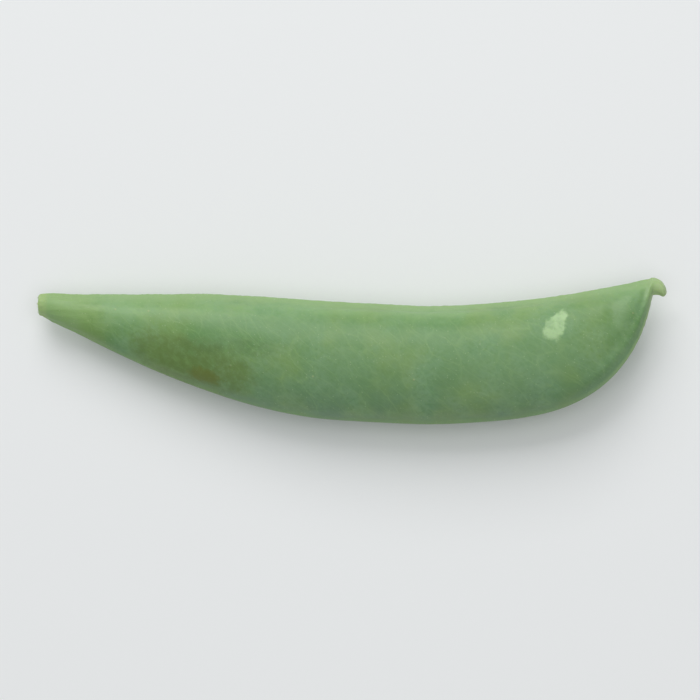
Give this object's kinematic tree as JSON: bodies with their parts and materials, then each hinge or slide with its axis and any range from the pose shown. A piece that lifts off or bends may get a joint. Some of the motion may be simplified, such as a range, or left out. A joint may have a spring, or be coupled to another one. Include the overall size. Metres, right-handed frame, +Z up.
{
  "type": "snow pea pod",
  "caption": "Fresh edible pea pod, plump and gently curved, with ridged seams, faint pea swellings, a topped stem neck and a small drooping beak. Lies on its side.",
  "frame": {"origin": "middle of the bounding box's base, on the surface that the pod lies on", "axes": "+X along the pod from the cut neck to the beak, +Y towards the ventral seam, +Z up through the pod's thickness"},
  "size_m": [0.09, 0.0212, 0.0115],
  "materials": {
    "pod_skin": "smooth living plant skin, semi-gloss under a thin wax bloom, mid green, paler and yellower along the seams"
  },
  "bodies": {
    "root": {"pod": "pod_skin"}
  },
  "joints": []
}
